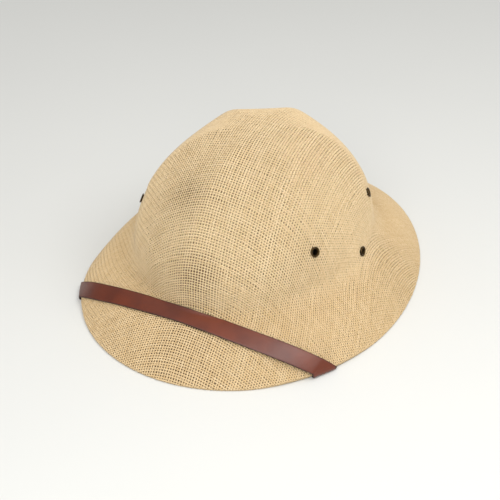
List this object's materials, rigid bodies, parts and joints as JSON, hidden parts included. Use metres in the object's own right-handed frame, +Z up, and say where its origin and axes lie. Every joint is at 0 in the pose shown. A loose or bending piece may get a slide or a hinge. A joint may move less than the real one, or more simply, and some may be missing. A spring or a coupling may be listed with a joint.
{
  "type": "pith helmet",
  "caption": "Sun helmet of woven straw cloth: domed crown with moulded ribs, sloping brim, metal air eyelets and a leather chin strap over the front of the brim.",
  "frame": {"origin": "on the surface the brim rests on, under the middle of the whole helmet", "axes": "+X to the wearer's left, +Y to the back of the helmet, +Z up through the crown; the front is -Y"},
  "size_m": [0.2558, 0.33, 0.134],
  "materials": {
    "straw_cloth": "matte natural jute weave, light tan threads with darker gaps",
    "eyelet_metal": "darkened antique bronze",
    "strap_leather": "glossy dark reddish brown"
  },
  "bodies": {
    "root": {"helmet_shell": "straw_cloth", "eyelet_front_left": "eyelet_metal", "eyelet_front_right": "eyelet_metal", "eyelet_side_left": "eyelet_metal", "eyelet_side_right": "eyelet_metal", "eyelet_back_left": "eyelet_metal", "eyelet_back_right": "eyelet_metal", "chin_strap": "strap_leather", "strap_stud_left": "eyelet_metal", "strap_stud_right": "eyelet_metal"}
  },
  "joints": []
}
